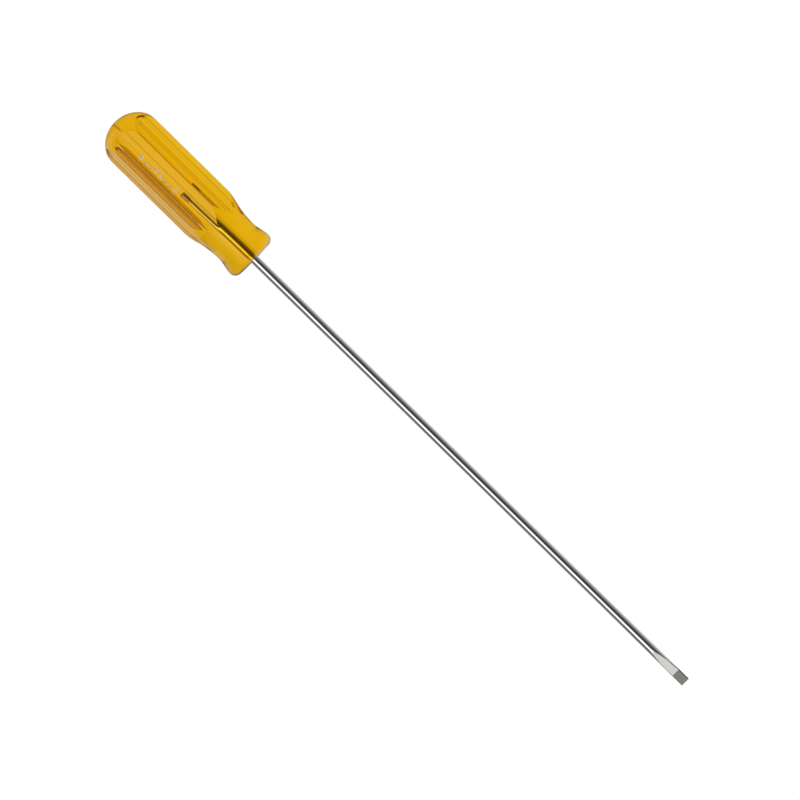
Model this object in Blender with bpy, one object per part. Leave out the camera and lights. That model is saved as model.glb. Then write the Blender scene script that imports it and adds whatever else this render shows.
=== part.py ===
"""Slotted screwdriver: a clear amber handle with six flutes on a long round blade.

The tool lies along X, butt of the handle at -X and tip of the blade at +X. The origin is on
the surface that the tool rests on, under the middle of its length. The handle lies on one of
its six flats, so that another faces straight up, square to the ground flats of the tip.

Units are metres. Stations along the tool are measured from the butt.
"""

from math import asin, atan, cos, pi, radians, sin, sqrt, tan

import bmesh
import bpy
from mathutils import Matrix

MM = 0.001

# Handle: a turned bar with a domed butt, a waisted neck and a flared collar.
HANDLE_LENGTH = 98.9 * MM
BODY_RADIUS = 15.875 * MM
DOME_LENGTH = 14.4 * MM
NECK_RADIUS = 12.4 * MM
NECK_STATION = 86.0 * MM
COLLAR_RADIUS = 13.8 * MM
COLLAR_STATION = 95.1 * MM
COLLAR_ARC = 10.3 * MM
SHOULDER_SLOPE = radians(15.2)
SHOULDER_ARC = 12.0 * MM
NECK_REAR_ARC = 54.0 * MM

# Six flats along the bar, each with a shallow round flute down its middle.
FLUTE_COUNT = 6
FLAT_HEIGHT = 13.8 * MM
FLUTE_WIDTH = 7.0 * MM
FLUTE_DEPTH = 0.45 * MM

# Blade: one round bar, its tang coined at the end to key it into the handle, its tip
# flared, ground to a wedge on both sides and then ground parallel.
EXPOSED_BLADE = 304.8 * MM
EMBEDDED_TANG = 49.2 * MM
SHANK_RADIUS = 2.38 * MM
COINED_LENGTH = 6.0 * MM
COINED_RUN_IN = 1.5 * MM
COINED_SPREAD = 1.12
COINED_FLATTEN = 0.8
FLARE_LENGTH = 50.0 * MM
TIP_WIDTH = 4.95 * MM
TIP_THICKNESS = 0.9 * MM
TIP_LAND = 6.8 * MM
TIP_TAPER = 15.8 * MM
TANG_CHAMFER = 0.5 * MM

# Running space between the tang and the hole it was pressed into.
BORE_CLEARANCE = 0.25 * MM

# Fineness of the solids.
HANDLE_SEGMENTS = 72
BLADE_SEGMENTS = 48
FLUTE_SEGMENTS = 10
ARC_STEP = radians(5)
DOME_STEPS = 12
MERGE_DISTANCE = 0.001 * MM
OVERCUT = 5.0 * MM

# Worked out from the dimensions above.
OVERALL_LENGTH = HANDLE_LENGTH + EXPOSED_BLADE
BUTT_X = -OVERALL_LENGTH / 2
FLUTE_PITCH = 2 * pi / FLUTE_COUNT
FLUTE_ARC = ((FLUTE_WIDTH / 2) ** 2 + FLUTE_DEPTH**2) / (2 * FLUTE_DEPTH)
FLUTE_CENTRE = FLAT_HEIGHT - FLUTE_DEPTH + FLUTE_ARC
FLUTE_SPREAD = asin(FLUTE_WIDTH / 2 / FLUTE_ARC)
AXIS_HEIGHT = FLAT_HEIGHT

AMBER = (0.80, 0.45, 0.02, 1.0)
STEEL = (0.62, 0.62, 0.61, 1.0)


def clear_scene():
    for obj in list(bpy.data.objects):
        bpy.data.objects.remove(obj, do_unlink=True)


def material(name, colour, metallic, roughness, transmission=0.0):
    made = bpy.data.materials.new(name)
    made.use_nodes = True
    shader = made.node_tree.nodes["Principled BSDF"]
    shader.inputs["Base Color"].default_value = colour
    shader.inputs["Metallic"].default_value = metallic
    shader.inputs["Roughness"].default_value = roughness
    shader.inputs["Transmission Weight"].default_value = transmission
    made.diffuse_color = colour
    return made


def object_from(name, bm):
    """A bmesh as an object at the butt, on the tool's axis."""
    bmesh.ops.remove_doubles(bm, verts=bm.verts, dist=MERGE_DISTANCE)
    bmesh.ops.recalc_face_normals(bm, faces=bm.faces)
    mesh = bpy.data.meshes.new(name)
    bm.to_mesh(mesh)
    bm.free()
    obj = bpy.data.objects.new(name, mesh)
    obj.location = (BUTT_X, 0, AXIS_HEIGHT)
    bpy.context.scene.collection.objects.link(obj)
    return obj


def shade_round(obj):
    obj.data.shade_smooth()
    obj.data.set_sharp_from_angle(angle=radians(25))


def cut(target, cutter):
    """Takes the cutter out of the target, and hides the cutter."""
    cutter.hide_render = True
    cutter.display_type = "WIRE"
    boolean = target.modifiers.new("cut_" + cutter.name, "BOOLEAN")
    boolean.operation = "DIFFERENCE"
    boolean.solver = "EXACT"
    boolean.object = cutter


def arc(centre, radius, start, end):
    """Points (station, height) on an arc, both ends included."""
    steps = max(2, round(abs(end - start) / ARC_STEP))
    turns = [start + (end - start) * i / steps for i in range(steps + 1)]
    return [(centre[0] + radius * cos(a), centre[1] + radius * sin(a)) for a in turns]


def dome():
    """The butt: a quarter ellipse, from the axis out to the body."""
    turns = [pi / 2 * i / DOME_STEPS for i in range(DOME_STEPS + 1)]
    return [(DOME_LENGTH * (1 - cos(a)), BODY_RADIUS * sin(a)) for a in turns]


def shoulder():
    """From the body down to the neck: a round edge, a cone and a long hollow."""
    round_drop = SHOULDER_ARC * (1 - cos(SHOULDER_SLOPE))
    hollow_drop = NECK_REAR_ARC * (1 - cos(SHOULDER_SLOPE))
    cone_drop = BODY_RADIUS - NECK_RADIUS - round_drop - hollow_drop
    cone_run = cone_drop / tan(SHOULDER_SLOPE)
    start = NECK_STATION - cone_run - (SHOULDER_ARC + NECK_REAR_ARC) * sin(SHOULDER_SLOPE)
    edge = arc((start, BODY_RADIUS - SHOULDER_ARC), SHOULDER_ARC, pi / 2, pi / 2 - SHOULDER_SLOPE)
    hollow_centre = (NECK_STATION, NECK_RADIUS + NECK_REAR_ARC)
    hollow = arc(hollow_centre, NECK_REAR_ARC, -pi / 2 - SHOULDER_SLOPE, -pi / 2)
    return edge + hollow


def collar():
    """From the neck out to the collar and round its corner to the flat front face."""
    run = COLLAR_STATION - NECK_STATION
    rise = COLLAR_RADIUS - NECK_RADIUS
    slope = 2 * atan(rise / run)
    hollow_arc = run / sin(slope) - COLLAR_ARC
    hollow_centre = (NECK_STATION, NECK_RADIUS + hollow_arc)
    hollow = arc(hollow_centre, hollow_arc, -pi / 2, -pi / 2 + slope)
    crown_centre = (COLLAR_STATION, COLLAR_RADIUS - COLLAR_ARC)
    crown = arc(crown_centre, COLLAR_ARC, pi / 2 + slope, pi / 2)
    corner_radius = HANDLE_LENGTH - COLLAR_STATION
    corner = arc((COLLAR_STATION, COLLAR_RADIUS - corner_radius), corner_radius, pi / 2, 0)
    return hollow[1:] + crown[1:] + corner[1:]


def turned(name, profile, segments):
    """A solid of revolution about X from points (station, radius) that start and end on it."""
    bm = bmesh.new()
    points = [bm.verts.new((station, 0, radius)) for station, radius in profile]
    lines = [bm.edges.new(ends) for ends in zip(points, points[1:])]
    bmesh.ops.spin(
        bm, geom=points + lines, cent=(0, 0, 0), axis=(1, 0, 0), angle=2 * pi,
        steps=segments, use_merge=True,
    )
    return object_from(name, bm)


def flute_cutter(index):
    """A long bar that cuts one flat and the flute in it. Index 0 cuts the flat that faces up.

    It ends at the neck, which is too thin for it to reach, so that the collar stays round.
    """
    turns = [FLUTE_SPREAD * (2 * i / FLUTE_SEGMENTS - 1) for i in range(FLUTE_SEGMENTS + 1)]
    flute = [(FLUTE_ARC * sin(a), FLUTE_CENTRE - FLUTE_ARC * cos(a)) for a in turns]
    wide = BODY_RADIUS + OVERCUT
    outline = [(-wide, FLAT_HEIGHT), *flute, (wide, FLAT_HEIGHT), (wide, wide), (-wide, wide)]
    bm = bmesh.new()
    face = bm.faces.new([bm.verts.new((-OVERCUT, y, z)) for y, z in outline])
    grown = bmesh.ops.extrude_face_region(bm, geom=[face])
    moved = [item for item in grown["geom"] if isinstance(item, bmesh.types.BMVert)]
    bmesh.ops.translate(bm, vec=(NECK_STATION + OVERCUT, 0, 0), verts=moved)
    around = Matrix.Rotation(index * FLUTE_PITCH, 4, "X")
    bmesh.ops.transform(bm, matrix=around, verts=bm.verts)
    return object_from(f"flute_cutter_{index + 1}", bm)


def tang_end():
    return HANDLE_LENGTH - EMBEDDED_TANG


def bar_section(station):
    """Half width and half height of the bar before its tip is ground."""
    coined_end = tang_end() + COINED_LENGTH
    share = min(1, max(0, (coined_end - station) / COINED_RUN_IN))
    width = SHANK_RADIUS * (1 + (COINED_SPREAD - 1) * share)
    height = SHANK_RADIUS * (1 - (1 - COINED_FLATTEN) * share)
    flare_start = OVERALL_LENGTH - TIP_LAND - FLARE_LENGTH
    flare = min(1, max(0, (station - flare_start) / FLARE_LENGTH)) ** 2
    swell = (sqrt((TIP_WIDTH / 2) ** 2 + (TIP_THICKNESS / 2) ** 2) - SHANK_RADIUS) * flare
    return width + swell, height + swell


def lofted(name, sections):
    """A bar along X from sections (station, half width, half height), capped at both ends."""
    bm = bmesh.new()
    rings = []
    for station, width, height in sections:
        turns = [2 * pi * i / BLADE_SEGMENTS for i in range(BLADE_SEGMENTS)]
        rings.append([bm.verts.new((station, width * cos(a), height * sin(a))) for a in turns])
    for ring, after in zip(rings, rings[1:]):
        for i in range(BLADE_SEGMENTS):
            j = (i + 1) % BLADE_SEGMENTS
            bm.faces.new((ring[i], ring[j], after[j], after[i]))
    bm.faces.new(rings[0])
    bm.faces.new(rings[-1])
    return object_from(name, bm)


def tang_stations():
    coined_end = tang_end() + COINED_LENGTH
    return [tang_end() + TANG_CHAMFER, coined_end - COINED_RUN_IN, coined_end]


def blade_sections():
    """The chamfered end of the tang, then the bar as far as the tip."""
    flare_steps = 8
    flare_start = OVERALL_LENGTH - TIP_LAND - FLARE_LENGTH
    flare = [flare_start + FLARE_LENGTH * i / flare_steps for i in range(flare_steps + 1)]
    stations = tang_stations() + flare + [OVERALL_LENGTH]
    sections = [(station, *bar_section(station)) for station in stations]
    width, height = bar_section(tang_end())
    return [(tang_end(), width - TANG_CHAMFER, height - TANG_CHAMFER)] + sections


def bore_sections():
    """The hole in the handle follows the tang at the clearance."""
    stations = [tang_end() - BORE_CLEARANCE] + tang_stations()[1:] + [HANDLE_LENGTH + OVERCUT]
    sections = []
    for station in stations:
        width, height = bar_section(station)
        sections.append((station, width + BORE_CLEARANCE, height + BORE_CLEARANCE))
    return sections


def tip_cutter(side):
    """What grinding takes off one side of the tip, above or below the blade."""
    past_end = OVERALL_LENGTH + OVERCUT
    land_start = OVERALL_LENGTH - TIP_LAND
    taper_start = land_start - TIP_TAPER
    slope = (SHANK_RADIUS - TIP_THICKNESS / 2) / TIP_TAPER
    rise_start = taper_start - OVERCUT
    outline = [
        (past_end, TIP_THICKNESS / 2),
        (land_start, TIP_THICKNESS / 2),
        (rise_start, SHANK_RADIUS + slope * OVERCUT),
        (rise_start, SHANK_RADIUS + 2 * OVERCUT),
        (past_end, SHANK_RADIUS + 2 * OVERCUT),
    ]
    bm = bmesh.new()
    width = SHANK_RADIUS + OVERCUT
    edge = [bm.verts.new((station, -width, side * height)) for station, height in outline]
    face = bm.faces.new(edge)
    grown = bmesh.ops.extrude_face_region(bm, geom=[face])
    moved = [item for item in grown["geom"] if isinstance(item, bmesh.types.BMVert)]
    bmesh.ops.translate(bm, vec=(0, 2 * width, 0), verts=moved)
    return object_from("tip_cutter_" + ("top" if side > 0 else "bottom"), bm)


def make_handle():
    """Clear amber cellulose acetate, turned and fluted from bar, with a blind hole."""
    profile = dome() + shoulder() + collar() + [(HANDLE_LENGTH, 0)]
    handle = turned("handle", profile, HANDLE_SEGMENTS)
    for index in range(FLUTE_COUNT):
        cut(handle, flute_cutter(index))
    cut(handle, lofted("bore_cutter", bore_sections()))
    handle.data.materials.append(material("amber_acetate", AMBER, 0.0, 0.08, 0.9))
    shade_round(handle)
    return handle


def make_blade():
    """Nickel-chrome plated steel bar from the tang in the handle to the ground tip."""
    blade = lofted("blade", blade_sections())
    for side in (1, -1):
        cut(blade, tip_cutter(side))
    blade.data.materials.append(material("plated_steel", STEEL, 1.0, 0.2))
    shade_round(blade)
    return blade


clear_scene()
make_handle()
make_blade()
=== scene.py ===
"""The look of the slotted screwdriver: a clear amber handle on a plated steel blade.

Everything is in metres in the frame of the CAD model. Sizes that the model's boxes give
are read from them, and those marked as in the CAD repeat its own. The finishes and the
studio are in this script only. Stations run along the tool from the butt of the handle.
"""

from math import atan, cos, pi, radians, sin, sqrt, tan

import bmesh
import bpy
import numpy as np
from mathutils import Matrix, Vector


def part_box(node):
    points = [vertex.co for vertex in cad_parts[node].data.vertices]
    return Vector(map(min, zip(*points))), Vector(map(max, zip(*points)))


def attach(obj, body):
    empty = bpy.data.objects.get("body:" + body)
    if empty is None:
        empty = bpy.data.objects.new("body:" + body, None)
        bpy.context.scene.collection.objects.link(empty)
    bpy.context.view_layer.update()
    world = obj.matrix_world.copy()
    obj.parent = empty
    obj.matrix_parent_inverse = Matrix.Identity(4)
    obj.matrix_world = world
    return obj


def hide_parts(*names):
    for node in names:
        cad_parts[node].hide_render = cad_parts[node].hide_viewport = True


MM = 0.001

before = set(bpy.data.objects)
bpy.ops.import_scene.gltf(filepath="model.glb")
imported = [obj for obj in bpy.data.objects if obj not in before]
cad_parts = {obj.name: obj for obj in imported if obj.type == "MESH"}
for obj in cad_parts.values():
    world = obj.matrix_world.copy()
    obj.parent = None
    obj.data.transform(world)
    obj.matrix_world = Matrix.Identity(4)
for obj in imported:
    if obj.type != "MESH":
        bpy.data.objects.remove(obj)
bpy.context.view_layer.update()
handle_low, handle_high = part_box("handle")
blade_low, blade_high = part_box("blade")

# Read from the frame.
BUTT_X = handle_low.x
HANDLE_LENGTH = handle_high.x - handle_low.x
BODY_RADIUS = (handle_high.y - handle_low.y) / 2
OVERALL_LENGTH = blade_high.x - handle_low.x
TANG_END = blade_low.x - handle_low.x
AXIS_HEIGHT = (blade_low.z + blade_high.z) / 2

# Handle, as in the CAD.
DOME_LENGTH = 14.4 * MM
NECK_RADIUS = 12.4 * MM
NECK_STATION = 86.0 * MM
COLLAR_RADIUS = 13.8 * MM
COLLAR_STATION = 95.1 * MM
SHOULDER_SLOPE = radians(15.2)
SHOULDER_ARC = 12.0 * MM
NECK_REAR_ARC = 54.0 * MM
FLUTE_COUNT = 6
FLAT_HEIGHT = 13.8 * MM
FLUTE_WIDTH = 7.0 * MM
FLUTE_DEPTH = 0.45 * MM
FLUTE_ARC = ((FLUTE_WIDTH / 2) ** 2 + FLUTE_DEPTH**2) / (2 * FLUTE_DEPTH)
FLUTE_CENTRE = FLAT_HEIGHT - FLUTE_DEPTH + FLUTE_ARC
FLUTE_PITCH = 2 * pi / FLUTE_COUNT
FLUTE_EDGE = atan(FLUTE_WIDTH / 2 / FLAT_HEIGHT)

# Blade, as in the CAD.
SHANK_RADIUS = 2.38 * MM
COINED_LENGTH = 6.0 * MM
COINED_END = TANG_END + COINED_LENGTH
COINED_RUN_IN = 1.5 * MM
COINED_SPREAD = 1.12
COINED_FLATTEN = 0.8
FLARE_LENGTH = 50.0 * MM
TIP_WIDTH = 4.95 * MM
TIP_THICKNESS = 0.9 * MM
TIP_LAND = 6.8 * MM
TIP_TAPER = 15.8 * MM
LAND_START = OVERALL_LENGTH - TIP_LAND
WEDGE_START = LAND_START - TIP_TAPER

# Edges of the handle, rounder than in the CAD, as polishing leaves them. The last three
# only keep slopes and roundings within bounds.
EDGE_ROUNDING = 0.3 * MM
RUN_OUT_ROUNDING = 0.45 * MM
STEEPEST_EDGE = 1.5
LEAST_ROUNDING = 1e-9
LEAST_RISE = 0.05

# Mouth of the hole, the film of air round the tang, and the tang's rounded end.
MOUTH_CHAMFER = 0.5 * MM
MOUTH_DEPTH = 1.8 * MM
AIR_FILM = 0.12 * MM
TANG_ROUND = 1.3 * MM
TANG_ROUND_STEPS = np.radians([0, 18, 36, 54, 72, 90])

# A guess from one image: how far off the axis the tang's end is, square to the camera.
TANG_WANDER = 0.95 * MM

# Invented, for stripes like the photo's: lengthwise ridges on the flats and flutes, as
# (height, ridges round the bar), and a slow wave along them. Both are cut inwards.
CUTTER_RIDGES = ((0.009 * MM, 41), (0.006 * MM, 67), (0.004 * MM, 26))
POLISH_WAVE = 0.006 * MM
POLISH_PITCH = 3.4 * MM
POLISH_TWIST = 3

# Finish of the tip: the step where two grinds meet, and the worn edges of the flats, which
# are worn only where a flat takes up nearly the whole width.
GRIND_STEP = 0.08 * MM
WORN_EDGE = 0.45 * MM
WORN_DROP = 0.2 * MM
WORN_BLEND = 0.28 * MM
WORN_SHARE = 0.2
END_CHAMFER = 0.25 * MM

# Foil stamped in the top flute: plain shapes in a row, in place of words.
FOIL_HEIGHTS = [h * MM for h in (4.4, 2.6, 2.6, 5.0, 5.0, 2.6, 2.6, 4.4)]
FOIL_START = 22.9 * MM
FOIL_PITCH = 3.4 * MM
FOIL_WIDTH = 2.4 * MM
FOIL_BASE = -2.6 * MM
FOIL_LIFT = 0.02 * MM
FOIL_THICKNESS = 0.03 * MM

# How finely the handle is divided. The columns are those of half a side: up to the flute's
# edge, round it, up to the flat's edge, and round that.
EDGE_REACH = radians(1.8)
HALF_SIDE_COLUMNS = (12, 16, 10, 10)
SLOPE_STEP = radians(0.05)
DOME_ROWS = 30
BODY_ROWS = 18
SHOULDER_ROWS = 26
COLLAR_ROWS = 40
HOLE_ROWS = 10
EDGE_OFFSETS = np.array([0.06, 0.14, 0.26, 0.45, 0.8, 1.3]) * MM
LEAST_ROW_GAP = 0.02 * MM

# How far outside the bar the front face has a ring of its own, before the hole's chamfer.
FACE_RING = 4 * MM

# How finely the blade is divided, and how far ahead of the wedge its close rows begin.
BLADE_COLUMNS = 256
TANG_ROWS = 10
SHANK_ROWS = 30
WEDGE_ROWS = 56
LAND_ROWS = 6
WEDGE_LEAD = 4 * MM

# Edges that turn further than this are shaded sharp.
SHARP_TURN = radians(30)
BLADE_SHARP_TURN = radians(24)

# The blade's materials, in their order on its mesh.
PLATED, WEDGE, LAND, TANG = range(4)

# Clear plastic: its colour is part depth, part skin. Its hole is clear and smooth.
WHITE = (1, 1, 1, 1)
PLASTIC_IOR = 1.48
GLOSS_TINT = (1.0, 0.75, 0.35, 1)
DEPTH_TINT = (0.977, 0.9416, 0.20, 1)
DEPTH_DENSITY = 250
SKIN_TINT = (1.0, 0.67, 0.45, 1)
HOLE_TO_SKIN = (4 * MM, 6 * MM)
# Painted shade along the edges of the flutes and flats: the share of an edge, kept on the mesh,
# and its brown colour.
EDGE_NAME = "edge_painted_shade"
EDGE_SHADE_TINT = (0.38, 0.19, 0.07, 1)
EDGE_SHOWS = (0.1, 0.6)

# The colours of the tang, by station: brown at its coined end, bright along the rest, and dark
# brown over its last few millimetres before the mouth.
TANG_BROWN = (0.50, 0.34, 0.25)
TANG_BRIGHT = (0.98, 0.95, 0.86)
TANG_TINTS = (
    (TANG_END, (0.85, 0.58, 0.34)),
    (TANG_END + 1.8 * MM, TANG_BROWN),
    (TANG_END + 5.2 * MM, TANG_BROWN),
    (TANG_END + 6.6 * MM, TANG_BRIGHT),
    (HANDLE_LENGTH - 4.2 * MM, TANG_BRIGHT),
    (HANDLE_LENGTH - 3.6 * MM, (0.30, 0.16, 0.08)),
)

# Ground steel: how much its marks darken and lighten it, and how they vary its roughness.
GRIND_SHADES = (0.82, 1.15)
GRIND_ROUGHNESS = (0.8, 1.2)

# Camera: a long lens, square to the tool's axis and tipped a little off the top flute.
CAMERA_TIP = radians(12.8)
CAMERA_ROLL = radians(44.46)
CAMERA_DISTANCE = 3.0
CAMERA_FAR = 50
FIELD_WIDTH = 404.0 * MM
SENSOR_WIDTH = 36.0
AIM_RIGHT = -0.05 * MM
AIM_UP = 1.05 * MM

# The table, and its brightness through the plastic, from the bright side and the dim one. The
# dim side is a painted shadow of the handle.
TABLE_HALF = 6.0
TABLE_CELLS = 8
TABLE_THROUGH = (0.93, 0.70)
TABLE_TILT = radians(45)

# Its brightness in the metal's reflections, by distance from the tool (m).
TABLE_MIRRORED = (
    (-0.05, 0.25), (-0.004, 0.28), (0.005, 0.80), (0.018, 0.66), (0.035, 0.47), (0.05, 0.42),
)

# The table as the handle's own sides mirror it: dim and amber where it lies in the handle's
# glow, and brighter past that on the far side.
AMBER_GLOW = (1.0, 0.62, 0.28, 1)
GLOW_REACH = (-20 * MM, -32 * MM)
GLOW_LEVEL = (0.32, 0.65)

# The room, by direction round the tool's axis: 0 is level on the camera's side, 90 is
# straight up, 180 level on the far side. A broad soft box hangs past the top.
ROOM_LIGHT = (
    (0, 0.30), (13, 0.20), (27, 0.13), (40, 0.08), (52, 0.045), (66, 0.04), (80, 0.08),
    (90, 0.45), (96, 1.1), (101, 1.45), (121, 1.45), (126, 1.1), (133, 0.50), (142, 0.22),
    (153, 0.11), (167, 0.11), (180, 0.18),
)

# How bright the room's sides look through the plastic alone.
PLASTIC_LIGHT = 0.85

# A ray that crossed more faces of plastic than this, and was mirrored more often than this,
# is taken to have met the steel.
STEEL_CROSSINGS = 3.5
STEEL_MIRRORINGS = 0.5


def set_inputs(tree, node, inputs):
    """Sets a node's sockets, or joins them where the value is another node's output."""
    for name, value in inputs.items():
        if isinstance(value, bpy.types.NodeSocket):
            tree.links.new(value, node.inputs[name])
        else:
            node.inputs[name].default_value = value


def add_node(tree, kind, settings=None, inputs=None):
    node = tree.nodes.new(kind)
    for name, value in (settings or {}).items():
        setattr(node, name, value)
    set_inputs(tree, node, inputs or {})
    return node


def new_material(name):
    made = bpy.data.materials.new(name)
    made.use_nodes = True
    tree = made.node_tree
    return made, tree, tree.nodes["Principled BSDF"]


def calculate(tree, one, operation, other):
    node = add_node(tree, "ShaderNodeMath", {"operation": operation}, {0: one, 1: other})
    return node.outputs[0]


def remap(tree, source, given, wanted=(0, 1)):
    """The source, with the range given stretched to the range wanted and held at its ends."""
    node = add_node(tree, "ShaderNodeMapRange", inputs={
        "Value": source,
        "From Min": given[0], "From Max": given[1],
        "To Min": wanted[0], "To Max": wanted[1],
    })
    return node.outputs["Result"]


def choose(tree, switch, off, on, kind="FLOAT"):
    """The value on where switch is 1, and the value off where it is 0."""
    node = add_node(tree, "ShaderNodeMix", {"data_type": kind}, {
        "Factor": switch, "A": off, "B": on,
    })
    return node.outputs["Result"]


def graded(tree, share, steps):
    """A colour that runs smoothly through steps (share, colour)."""
    ramp = add_node(tree, "ShaderNodeValToRGB", inputs={"Fac": share})
    stops = ramp.color_ramp.elements
    while len(stops) > 1:
        stops.remove(stops[-1])
    for i, (place, colour) in enumerate(steps):
        stop = stops[0] if i == 0 else stops.new(place)
        stop.position = place
        stop.color = (*colour, 1)
    return ramp.outputs["Color"]


def coordinates(tree, kind="Object"):
    """X, Y and Z, in the frame's own coordinates unless another kind is named."""
    place = add_node(tree, "ShaderNodeTexCoord")
    parts = add_node(tree, "ShaderNodeSeparateXYZ", inputs={"Vector": place.outputs[kind]})
    return parts.outputs


def stretched_noise(tree, stretch, scale, detail=3.0):
    """Noise in the frame's own coordinates, stretched along each axis."""
    place = add_node(tree, "ShaderNodeTexCoord")
    mapping = add_node(tree, "ShaderNodeMapping", inputs={
        "Vector": place.outputs["Object"], "Scale": stretch,
    })
    noise = add_node(tree, "ShaderNodeTexNoise", inputs={
        "Vector": mapping.outputs["Vector"], "Scale": scale, "Detail": detail,
    })
    return noise.outputs["Fac"]


def bump(tree, height, strength, distance, before=None):
    inputs = {"Height": height, "Strength": strength, "Distance": distance}
    if before is not None:
        inputs["Normal"] = before
    return add_node(tree, "ShaderNodeBump", inputs=inputs).outputs["Normal"]


def outside_hole(tree):
    """1 on the outside of the handle and 0 in its hole, by distance from the tool's axis."""
    place = add_node(tree, "ShaderNodeTexCoord")
    flatten = add_node(tree, "ShaderNodeMapping", inputs={
        "Vector": place.outputs["Object"],
        "Location": (0, 0, -AXIS_HEIGHT),
        "Scale": (0, 1, 1),
    })
    distance = add_node(tree, "ShaderNodeVectorMath", {"operation": "LENGTH"}, {
        0: flatten.outputs["Vector"],
    })
    return remap(tree, distance.outputs["Value"], HOLE_TO_SKIN)


def amber_material():
    """Clear amber acetate, polished and lightly handled, with painted shade as brown lines along
    its edges.
    """
    made, tree, shader = new_material("clear_amber_acetate")
    outside = outside_hole(tree)
    wear = stretched_noise(tree, stretch=(1, 1, 1), scale=90)
    haze = remap(tree, wear, (0.35, 0.75), wanted=(0.015, 0.07))
    scratches = stretched_noise(tree, stretch=(60, 900, 900), scale=1, detail=1.0)
    scratches = calculate(tree, scratches, "MULTIPLY", outside)
    waves = stretched_noise(tree, stretch=(25, 90, 90), scale=1, detail=0.0)
    waves = calculate(tree, waves, "MULTIPLY", outside)
    fine = bump(tree, scratches, strength=0.015, distance=0.02 * MM)
    skin = choose(tree, outside, WHITE, SKIN_TINT, "RGBA")
    # Painted shade: the edge shares turn the surface colour brown along the edges of the flutes
    # and flats.
    edge = add_node(tree, "ShaderNodeAttribute", {"attribute_name": EDGE_NAME})
    edge_shade = remap(tree, edge.outputs["Fac"], EDGE_SHOWS)
    depth = add_node(tree, "ShaderNodeVolumeAbsorption", inputs={
        "Color": DEPTH_TINT, "Density": DEPTH_DENSITY,
    })
    set_inputs(tree, shader, {
        "Transmission Weight": 1.0,
        "IOR": PLASTIC_IOR,
        "Specular Tint": GLOSS_TINT,
        "Base Color": choose(tree, edge_shade, skin, EDGE_SHADE_TINT, "RGBA"),
        "Roughness": calculate(tree, haze, "MULTIPLY", outside),
        "Normal": bump(tree, waves, strength=0.05, distance=0.1 * MM, before=fine),
    })
    set_inputs(tree, tree.nodes["Material Output"], {"Volume": depth.outputs["Volume"]})
    return made


def plated_material():
    """Nickel-chrome plate over a bar polished along its length."""
    made, tree, shader = new_material("plated_steel")
    wear = stretched_noise(tree, stretch=(1, 3, 3), scale=60)
    lines = stretched_noise(tree, stretch=(60, 4000, 4000), scale=1)
    set_inputs(tree, shader, {
        "Metallic": 1.0,
        "Base Color": (0.85, 0.85, 0.84, 1),
        "Roughness": remap(tree, wear, (0.3, 0.7), wanted=(0.05, 0.1)),
        "Normal": bump(tree, lines, strength=0.15, distance=0.01 * MM),
    })
    return made


def foil_material():
    """Pale metal foil, worn away in patches down to the plastic."""
    made, tree, shader = new_material("worn_foil")
    wear = stretched_noise(tree, stretch=(1, 1, 1), scale=1300, detail=4.0)
    set_inputs(tree, shader, {
        "Metallic": 0.6,
        "Base Color": (0.80, 0.62, 0.42, 1),
        "Roughness": 0.4,
        "Alpha": remap(tree, wear, (0.42, 0.6), wanted=(0.15, 0.85)),
    })
    return made


def tang_material():
    """The bar inside the handle: unplated, brown at its end and dark brown near the mouth."""
    made, tree, shader = new_material("bare_tang_steel")
    along = remap(tree, coordinates(tree)["X"], (BUTT_X, BUTT_X + HANDLE_LENGTH))
    tints = [(station / HANDLE_LENGTH, tint) for station, tint in TANG_TINTS]
    wear = stretched_noise(tree, stretch=(1, 2, 2), scale=120)
    dents = stretched_noise(tree, stretch=(1, 2, 2), scale=60, detail=0.0)
    set_inputs(tree, shader, {
        "Metallic": 1.0,
        "Base Color": graded(tree, along, tints),
        "Roughness": remap(tree, wear, (0.3, 0.7), wanted=(0.06, 0.14)),
        "Normal": bump(tree, dents, strength=0.1, distance=0.05 * MM),
    })
    return made


def ground_material(name, colour, roughness):
    """Steel with the fine cross marks of a grinding wheel."""
    made, tree, shader = new_material(name)
    marks = stretched_noise(tree, stretch=(9000, 300, 300), scale=1)
    dark, light = ((*[min(1, c * shade) for c in colour], 1) for shade in GRIND_SHADES)
    spread = [roughness * share for share in GRIND_ROUGHNESS]
    set_inputs(tree, shader, {
        "Metallic": 1.0,
        "Base Color": choose(tree, marks, dark, light, "RGBA"),
        "Roughness": remap(tree, marks, (0.3, 0.7), wanted=spread),
        "Normal": bump(tree, marks, strength=0.35, distance=0.02 * MM),
    })
    return made


def link_object(name, data):
    made = bpy.data.objects.new(name, data)
    bpy.context.scene.collection.objects.link(made)
    return made


def piece(name, bm, materials, sharp=SHARP_TURN):
    """A mesh in the frame's coordinates that rides on the tool."""
    bmesh.ops.recalc_face_normals(bm, faces=bm.faces)
    mesh = bpy.data.meshes.new(name)
    bm.to_mesh(mesh)
    bm.free()
    for material in materials:
        mesh.materials.append(material)
    mesh.shade_smooth()
    mesh.set_sharp_from_angle(angle=sharp)
    obj = link_object(name, mesh)
    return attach(obj, "root")


def add_rings(bm, rings):
    """Quads between rings of points, all with the same count."""
    made = [[bm.verts.new(point) for point in ring] for ring in rings]
    count = len(made[0])
    for ring, after in zip(made, made[1:]):
        for i in range(count):
            j = (i + 1) % count
            bm.faces.new((ring[i], ring[j], after[j], after[i]))
    return made


def close_ring(bm, ring, point):
    centre = bm.verts.new(point)
    for i, vert in enumerate(ring):
        bm.faces.new((vert, ring[(i + 1) % len(ring)], centre))


def arc(centre, radius, start, end, step=radians(1)):
    """Points (station, height) on an arc, both ends included."""
    steps = max(2, round(abs(end - start) / step))
    turns = np.linspace(start, end, steps + 1)
    return [(centre[0] + radius * cos(a), centre[1] + radius * sin(a)) for a in turns]


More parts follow.
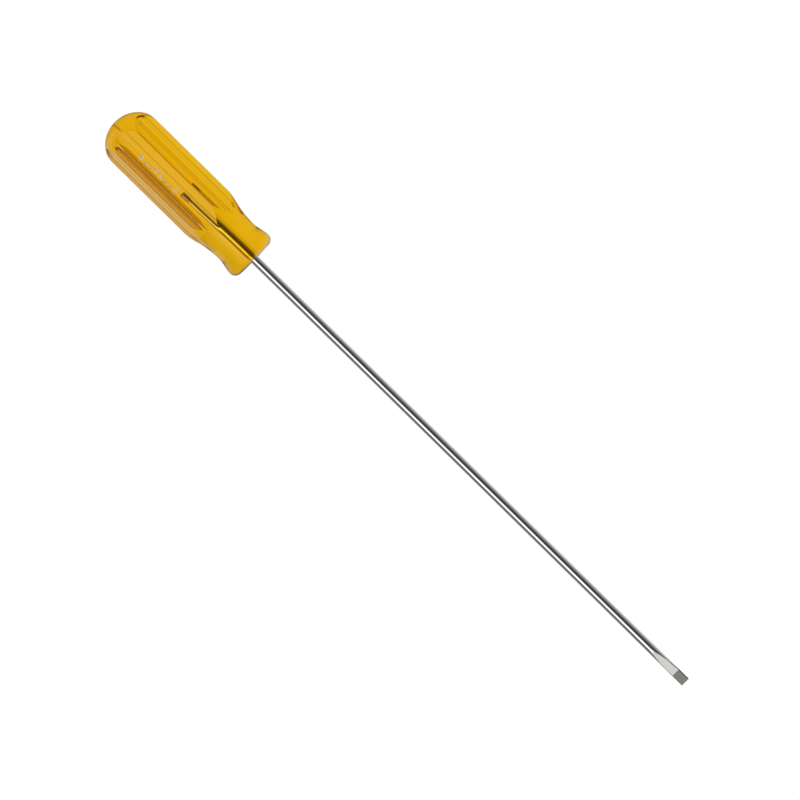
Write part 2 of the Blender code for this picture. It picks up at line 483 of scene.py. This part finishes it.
def shoulder():
    """From the body down to the neck: a round edge, a cone and a long hollow."""
    round_drop = SHOULDER_ARC * (1 - cos(SHOULDER_SLOPE))
    hollow_drop = NECK_REAR_ARC * (1 - cos(SHOULDER_SLOPE))
    cone_drop = BODY_RADIUS - NECK_RADIUS - round_drop - hollow_drop
    cone_run = cone_drop / tan(SHOULDER_SLOPE)
    start = NECK_STATION - cone_run - (SHOULDER_ARC + NECK_REAR_ARC) * sin(SHOULDER_SLOPE)
    edge_centre = (start, BODY_RADIUS - SHOULDER_ARC)
    edge = arc(edge_centre, SHOULDER_ARC, pi / 2, pi / 2 - SHOULDER_SLOPE)
    hollow_centre = (NECK_STATION, NECK_RADIUS + NECK_REAR_ARC)
    hollow = arc(hollow_centre, NECK_REAR_ARC, -pi / 2 - SHOULDER_SLOPE, -pi / 2, radians(0.5))
    return edge + hollow


def collar():
    """From the neck out to the collar and round its corner to the flat front face.

    It is one smooth wave, where the CAD has two arcs.
    """
    shares = np.linspace(0, 1, COLLAR_ROWS)
    stations = NECK_STATION + (COLLAR_STATION - NECK_STATION) * shares
    radii = NECK_RADIUS + (COLLAR_RADIUS - NECK_RADIUS) * (1 - np.cos(pi * shares)) / 2
    corner_radius = HANDLE_LENGTH - COLLAR_STATION
    corner_centre = (COLLAR_STATION, COLLAR_RADIUS - corner_radius)
    corner = arc(corner_centre, corner_radius, pi / 2, 0, radians(4))
    return list(zip(stations, radii))[1:] + corner[1:]


def flute_columns():
    """Angles round the handle, close together at the edges of a flute and of a flat."""
    half = FLUTE_PITCH / 2
    ends = (0, FLUTE_EDGE - EDGE_REACH, FLUTE_EDGE + EDGE_REACH, half - EDGE_REACH, half)
    side = np.concatenate([
        np.linspace(start, end, count, endpoint=end == half)
        for start, end, count in zip(ends, ends[1:], HALF_SIDE_COLUMNS)
    ])
    local = np.concatenate([-side[:0:-1], side])[1:]
    return np.concatenate([local + pi / 2 + i * FLUTE_PITCH for i in range(FLUTE_COUNT)])


def from_mid_side(turn):
    """The angle from the middle of the side that an angle falls on."""
    return (turn - pi / 2 + FLUTE_PITCH / 2) % FLUTE_PITCH - FLUTE_PITCH / 2


def softened_minimum(one, other, reach):
    """The lower of two, rounded where they cross, and how near they are to crossing."""
    share = np.maximum(reach - np.abs(one - other), 0) / reach
    return np.minimum(one, other) - share**2 * reach / 4, share


def section_radius(turn):
    """Radius of the fluted bar at an angle, and where the edges of its flutes and flats are."""
    local = from_mid_side(turn)
    flat = FLAT_HEIGHT / np.cos(local)
    root = FLUTE_ARC**2 - (FLUTE_CENTRE * np.sin(local)) ** 2
    groove = FLUTE_CENTRE * np.cos(local) - np.sqrt(np.maximum(root, 0))
    groove = np.where(root > 0, groove, flat + 1)
    side, flute_edge = softened_minimum(flat, groove, EDGE_ROUNDING / 4)
    radius, crest_edge = softened_minimum(side, BODY_RADIUS, EDGE_ROUNDING / 2)
    return radius, np.maximum(flute_edge, crest_edge)


def fluted_section(turn):
    """Radius of the fluted bar at an angle, its slope round the bar, and its edges."""
    radius, edge = section_radius(turn)
    after, _ = section_radius(turn + SLOPE_STEP)
    before, _ = section_radius(turn - SLOPE_STEP)
    return radius, (after - before) / (2 * SLOPE_STEP * radius), edge


def blended(profile_radius, profile_slope, groove_radius, groove_slope, soften):
    """The lower of the two surfaces, the edge between them rounded off, and where it is."""
    steepness = np.minimum(profile_slope**2 + groove_slope**2, STEEPEST_EDGE)
    reach = EDGE_ROUNDING / 2 * steepness + soften + LEAST_ROUNDING
    return softened_minimum(profile_radius, groove_radius, reach)


def turned_profile(station, front):
    """Radius and slope of the turned bar, before its flats, behind the neck."""
    x = np.clip(station, 0, DOME_LENGTH)
    ratio = 1 - x / DOME_LENGTH
    domed = BODY_RADIUS * np.sqrt(np.maximum(1 - ratio**2, 0))
    rise = np.maximum(np.sqrt(1 - ratio**2), LEAST_RISE)
    dome_slope = BODY_RADIUS / DOME_LENGTH * ratio / rise
    turned = np.interp(station, front[:, 0], front[:, 1])
    turned_slope = np.interp(station, front[:, 0], np.gradient(front[:, 1], front[:, 0]))
    on_dome = station < DOME_LENGTH
    past = station > front[0, 0]
    radius = np.where(on_dome, domed, np.where(past, turned, BODY_RADIUS))
    slope = np.where(on_dome, dome_slope, np.where(past, turned_slope, 0))
    return radius, slope


def skin_stations(groove, front):
    """Rows of stations over the columns, close together where the flats run out.

    Rear is where a column leaves the dome for its flat, and fore where it meets the shoulder.
    """
    limit = np.minimum(groove, BODY_RADIUS)
    dome_edge = np.arcsin(limit / BODY_RADIUS)
    rear = DOME_LENGTH * (1 - np.cos(dome_edge))
    fore = np.interp(limit, front[::-1, 1], front[::-1, 0])
    last = EDGE_OFFSETS[-1]
    stations = []
    for share in np.linspace(0, 1, DOME_ROWS)[1:-2]:
        stations.append(np.minimum(DOME_LENGTH * (1 - np.cos(dome_edge * share)), rear))
    for offset in EDGE_OFFSETS[::-1]:
        if (rear - offset > stations[-1] + LEAST_ROW_GAP).all():
            stations.append(rear - offset)
    stations.append(rear)
    stations += [rear + offset for offset in EDGE_OFFSETS]
    for share in np.linspace(0, 1, BODY_ROWS)[1:-1]:
        stations.append(rear + last + (fore - rear - 2 * last) * share)
    stations += [fore - offset for offset in EDGE_OFFSETS[::-1]]
    stations.append(fore)
    stations += [fore + offset for offset in EDGE_OFFSETS]
    for share in np.linspace(0, 1, SHOULDER_ROWS)[1:]:
        stations.append(fore + last + (NECK_STATION - fore - last) * share)
    return stations


def handle_skin():
    """Rows of (station, radius, edge) over the columns, from the butt to the front face."""
    turns = flute_columns()
    groove, groove_slope, groove_edge = fluted_section(turns)
    within_flute = 1 - (from_mid_side(turns) / FLUTE_EDGE) ** 2
    run_out = RUN_OUT_ROUNDING * np.maximum(within_flute, 0)
    front = np.array(shoulder())
    ridges = sum(height * (np.sin(count * turns + count) - 1) for height, count in CUTTER_RIDGES)
    rows = []
    for station in skin_stations(groove, front):
        radius, slope = turned_profile(station, front)
        along = station / POLISH_PITCH
        wave = ridges + POLISH_WAVE * (np.sin(along + POLISH_TWIST * turns) - 1)
        soften = run_out * (station > front[0, 0])
        skin, edge = blended(radius, slope, groove + wave, groove_slope, soften)
        edge = edge * (run_out == 0)
        rows.append((station, skin, np.maximum(edge, groove_edge * (groove < radius))))
    same = np.ones_like(turns)
    rows += [(station * same, radius * same, same * 0) for station, radius in collar()]
    return turns, rows


def bar_section(station):
    """Half width and half height of the bar before its tip is ground."""
    share = min(1, max(0, (COINED_END - station) / COINED_RUN_IN))
    width = SHANK_RADIUS * (1 + (COINED_SPREAD - 1) * share)
    height = SHANK_RADIUS * (1 - (1 - COINED_FLATTEN) * share)
    flare = min(1, max(0, (station - (LAND_START - FLARE_LENGTH)) / FLARE_LENGTH)) ** 2
    swell = (sqrt((TIP_WIDTH / 2) ** 2 + (TIP_THICKNESS / 2) ** 2) - SHANK_RADIUS) * flare
    return width + swell, height + swell


def wander(station):
    """How far the tang and its hole stand off the axis, across and up."""
    inside = max(0, HANDLE_LENGTH - station) / (HANDLE_LENGTH - TANG_END)
    offset = TANG_WANDER * min(inside, 1) ** 2
    return -offset * cos(CAMERA_TIP), offset * sin(CAMERA_TIP)


def hole_ring(station, turns, grow):
    """Points round the hole, grown from the bar that stands in it."""
    width, height = bar_section(station)
    across, up = wander(station)
    return [
        (
            BUTT_X + station,
            across + (width + grow) * cos(a),
            AXIS_HEIGHT + up + (height + grow) * sin(a),
        )
        for a in turns
    ]


def make_handle(material):
    turns, rows = handle_skin()
    rings = [
        [
            (BUTT_X + x, r * cos(a), AXIS_HEIGHT + r * sin(a))
            for x, r, a in zip(stations, radii, turns)
        ]
        for stations, radii, _ in rows
    ]
    start = HANDLE_LENGTH - MOUTH_DEPTH
    hole = [(HANDLE_LENGTH, FACE_RING), (HANDLE_LENGTH, AIR_FILM + MOUTH_CHAMFER)]
    hole += [
        (start + (COINED_END - start) * share, AIR_FILM)
        for share in np.linspace(0, 1, HOLE_ROWS)
    ]
    hole.append((COINED_END - COINED_RUN_IN, AIR_FILM))
    for a in TANG_ROUND_STEPS[::-1]:
        reach = (TANG_ROUND + AIR_FILM) * (1 - cos(a))
        inset = (TANG_ROUND + AIR_FILM) * (1 - sin(a))
        hole.append((TANG_END - AIR_FILM + reach, AIR_FILM - inset))
    rings += [hole_ring(station, turns, grow) for station, grow in hole]
    bm = bmesh.new()
    # Each vertex keeps its edge share, which paints brown shade along the edges of the flutes
    # and flats.
    edge = bm.verts.layers.float.new(EDGE_NAME)
    made = add_rings(bm, rings)
    for ring, (_, _, shares) in zip(made, rows):
        for vert, share in zip(ring, shares):
            vert[edge] = share
    close_ring(bm, made[0], (BUTT_X, 0, AXIS_HEIGHT))
    across, up = wander(TANG_END)
    close_ring(bm, made[-1], (BUTT_X + TANG_END - AIR_FILM, across, AXIS_HEIGHT + up))
    handle = piece("amber_handle", bm, [material])
    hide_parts("handle")


def flat_height(station):
    """Half the thickness of the ground tip: a wedge, a fine step and a parallel land."""
    if station >= LAND_START:
        return TIP_THICKNESS / 2
    slope = (SHANK_RADIUS - TIP_THICKNESS / 2) / TIP_TAPER
    return TIP_THICKNESS / 2 + GRIND_STEP + slope * (LAND_START - station)


def blade_ring(station, turns, inset=0.0):
    """Points round the bar, cut to the flats of the tip, whose edges are a little worn."""
    width, height = bar_section(station)
    off_axis, lifted = wander(station)
    flat = flat_height(station) - inset
    across = sqrt(max(width**2 - flat**2, 0))
    crown = WORN_DROP * max(0, across / width - (1 - WORN_SHARE)) / WORN_SHARE
    ring = []
    for turn in turns:
        y = (width - inset) * cos(turn)
        z = (height - inset) * sin(turn)
        share = min(1, max(0, abs(y) - across + WORN_EDGE) / WORN_EDGE)
        limit = flat - crown * share**2
        near = max(0, WORN_BLEND - abs(abs(z) - limit)) / WORN_BLEND
        cut = min(abs(z), limit) - near**2 * WORN_BLEND / 4
        if cut < abs(z) and station > COINED_END:
            z = cut if z > 0 else -cut
        ring.append((BUTT_X + station, off_axis + y, AXIS_HEIGHT + lifted + z))
    return ring


def make_blade(materials):
    """The blade, its faces sorted into tang, plated bar, ground wedge and ground land."""
    turns = [2 * pi * i / BLADE_COLUMNS for i in range(BLADE_COLUMNS)]
    lead = WEDGE_START - WEDGE_LEAD
    stations = [COINED_END - COINED_RUN_IN, COINED_END]
    for start, end, count in (
        (COINED_END, HANDLE_LENGTH, TANG_ROWS),
        (HANDLE_LENGTH, lead, SHANK_ROWS),
        (lead, LAND_START - GRIND_STEP, WEDGE_ROWS),
    ):
        stations += list(np.linspace(start, end, count)[1:])
    stations += list(np.linspace(LAND_START, OVERALL_LENGTH - END_CHAMFER, LAND_ROWS))
    rings = [
        blade_ring(TANG_END + TANG_ROUND * (1 - cos(a)), turns, TANG_ROUND * (1 - sin(a)))
        for a in TANG_ROUND_STEPS
    ]
    rings += [blade_ring(station, turns) for station in stations]
    rings.append(blade_ring(OVERALL_LENGTH, turns, END_CHAMFER))
    bm = bmesh.new()
    made = add_rings(bm, rings)
    bm.faces.new(made[0])
    bm.faces.new(made[-1])
    for face in bm.faces:
        middle = face.calc_center_median()
        station = middle.x - BUTT_X
        width, _ = bar_section(station)
        across = sqrt(max(width**2 - flat_height(station) ** 2, 0))
        if station < HANDLE_LENGTH:
            face.material_index = TANG
        elif station > LAND_START:
            face.material_index = LAND
        elif station > WEDGE_START and abs(middle.y) < across:
            face.material_index = WEDGE
        else:
            face.material_index = PLATED
    blade = piece("steel_blade", bm, materials, BLADE_SHARP_TURN)
    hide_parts("blade")


def on_flute(station, across, lift):
    """A point over the floor of the top flute."""
    turn = across / FLUTE_ARC
    reach = FLUTE_ARC - lift
    return BUTT_X + station, reach * sin(turn), AXIS_HEIGHT + FLUTE_CENTRE - reach * cos(turn)


def make_foil(material):
    """A row of lozenges hot-stamped in foil along the top flute, partly worn away."""
    bm = bmesh.new()
    for i, tall in enumerate(FOIL_HEIGHTS):
        middle = FOIL_START + i * FOIL_PITCH
        base = FOIL_BASE + tall / 2
        corners = ((0, tall / 2), (FOIL_WIDTH / 2, 0), (0, -tall / 2), (-FOIL_WIDTH / 2, 0))
        low, high = (
            [bm.verts.new(on_flute(middle + x, base + y, lift)) for x, y in corners]
            for lift in (FOIL_LIFT, FOIL_LIFT + FOIL_THICKNESS)
        )
        bm.faces.new(low)
        bm.faces.new(high)
        for j in range(len(corners)):
            k = (j + 1) % len(corners)
            bm.faces.new((low[j], low[k], high[k], high[j]))
    piece("foil_marks", bm, [material])


def ray_kinds(tree):
    """Whether a ray came out of the plastic without meeting the steel, and the light path.

    A ray that meets the tang is mirrored once and crosses four faces of plastic in all. One
    that does both in the plastic alone is taken for it too.
    """
    rays = add_node(tree, "ShaderNodeLightPath").outputs
    crossed = calculate(tree, rays["Transmission Depth"], "GREATER_THAN", STEEL_CROSSINGS)
    mirrored = calculate(tree, rays["Glossy Depth"], "GREATER_THAN", STEEL_MIRRORINGS)
    steel = calculate(tree, crossed, "MULTIPLY", mirrored)
    plastic = calculate(tree, rays["Is Transmission Ray"], "SUBTRACT", steel)
    return calculate(tree, plastic, "MAXIMUM", 0.0), rays


def make_table():
    """A white light table: even to the eye, dimmer where plate and plastic mirror it.

    Through the handle it is dimmer the more a ray leans to its dim side: a painted shadow of the
    handle on the table, seen through the plastic.
    """
    bm = bmesh.new()
    bmesh.ops.create_grid(bm, x_segments=TABLE_CELLS, y_segments=TABLE_CELLS, size=TABLE_HALF)
    mesh = bpy.data.meshes.new("table_top")
    bm.to_mesh(mesh)
    bm.free()
    made, tree, shader = new_material("pale_table")
    parts = coordinates(tree)
    plastic_only, rays = ray_kinds(tree)

    # Painted shadow of the handle: rays through the plastic that lean to the dim side see the
    # table dimmer.
    leaning = add_node(tree, "ShaderNodeCombineXYZ", inputs={
        "Y": sin(TABLE_TILT), "Z": cos(TABLE_TILT),
    })
    tilt = add_node(tree, "ShaderNodeLayerWeight", inputs={
        "Blend": 0.5, "Normal": leaning.outputs["Vector"],
    })
    through = remap(tree, tilt.outputs["Facing"], (0, 1), TABLE_THROUGH)

    near = TABLE_MIRRORED[0][0]
    far = TABLE_MIRRORED[-1][0]
    levels = [((y - near) / (far - near), (level,) * 3) for y, level in TABLE_MIRRORED]
    mirrored = graded(tree, remap(tree, parts["Y"], (near, far)), levels)

    beside = (BUTT_X + HANDLE_LENGTH, BUTT_X + NECK_STATION)
    beside = remap(tree, parts["X"], beside)
    by_handle = calculate(tree, rays["Is Reflection Ray"], "MULTIPLY", beside)
    clear = remap(tree, parts["Y"], GLOW_REACH)
    mirrored = choose(tree, by_handle, mirrored, remap(tree, clear, (0, 1), GLOW_LEVEL))
    glowing = calculate(tree, by_handle, "MULTIPLY", remap(tree, clear, (0, 1), (1, 0)))

    seen = choose(tree, plastic_only, mirrored, through)
    set_inputs(tree, shader, {
        "Base Color": (0, 0, 0, 1),
        "Specular IOR Level": 0.0,
        "Emission Strength": choose(tree, rays["Is Camera Ray"], seen, 1.0),
        "Emission Color": choose(tree, glowing, WHITE, AMBER_GLOW, "RGBA"),
    })
    mesh.materials.append(made)
    floor = link_object("table_top", mesh)


def make_world():
    """The room's light: by direction round the tool's axis, and even through the plastic."""
    world = bpy.data.worlds.new("studio")
    bpy.context.scene.world = world
    world.use_nodes = True
    tree = world.node_tree
    parts = coordinates(tree, "Generated")
    angle = calculate(tree, parts["Z"], "ARCTAN2", parts["Y"])
    brightest = max(level for _, level in ROOM_LIGHT)
    levels = [(degrees / 180, (level / brightest,) * 3) for degrees, level in ROOM_LIGHT]
    room = graded(tree, remap(tree, angle, (0, pi)), levels)
    room = calculate(tree, room, "MULTIPLY", brightest)
    plastic_only, _ = ray_kinds(tree)
    set_inputs(tree, tree.nodes["Background"], {
        "Color": WHITE, "Strength": choose(tree, plastic_only, room, PLASTIC_LIGHT),
    })


def make_camera():
    away = Vector((0, sin(CAMERA_TIP), cos(CAMERA_TIP)))
    across = Vector((0, cos(CAMERA_TIP), -sin(CAMERA_TIP)))
    along = Vector((1, 0, 0))
    right = along * cos(CAMERA_ROLL) + across * sin(CAMERA_ROLL)
    up = -along * sin(CAMERA_ROLL) + across * cos(CAMERA_ROLL)
    middle = Vector((BUTT_X + OVERALL_LENGTH / 2, 0, AXIS_HEIGHT))
    aim = middle + right * AIM_RIGHT + up * AIM_UP
    camera = link_object("camera", bpy.data.cameras.new("camera"))
    camera.data.sensor_width = SENSOR_WIDTH
    camera.data.lens = SENSOR_WIDTH * CAMERA_DISTANCE / FIELD_WIDTH
    camera.data.clip_end = CAMERA_FAR
    facing = Matrix((right, up, away)).transposed().to_4x4()
    camera.matrix_world = Matrix.Translation(aim + away * CAMERA_DISTANCE) @ facing
    bpy.context.scene.camera = camera


bpy.context.scene.view_settings.view_transform = "Standard"
make_camera()
make_world()
make_table()
make_handle(amber_material())
make_foil(foil_material())
make_blade([
    plated_material(),
    ground_material("ground_wedge", colour=(0.55, 0.55, 0.53), roughness=0.3),
    ground_material("ground_tip", colour=(0.26, 0.25, 0.235), roughness=0.45),
    tang_material(),
])
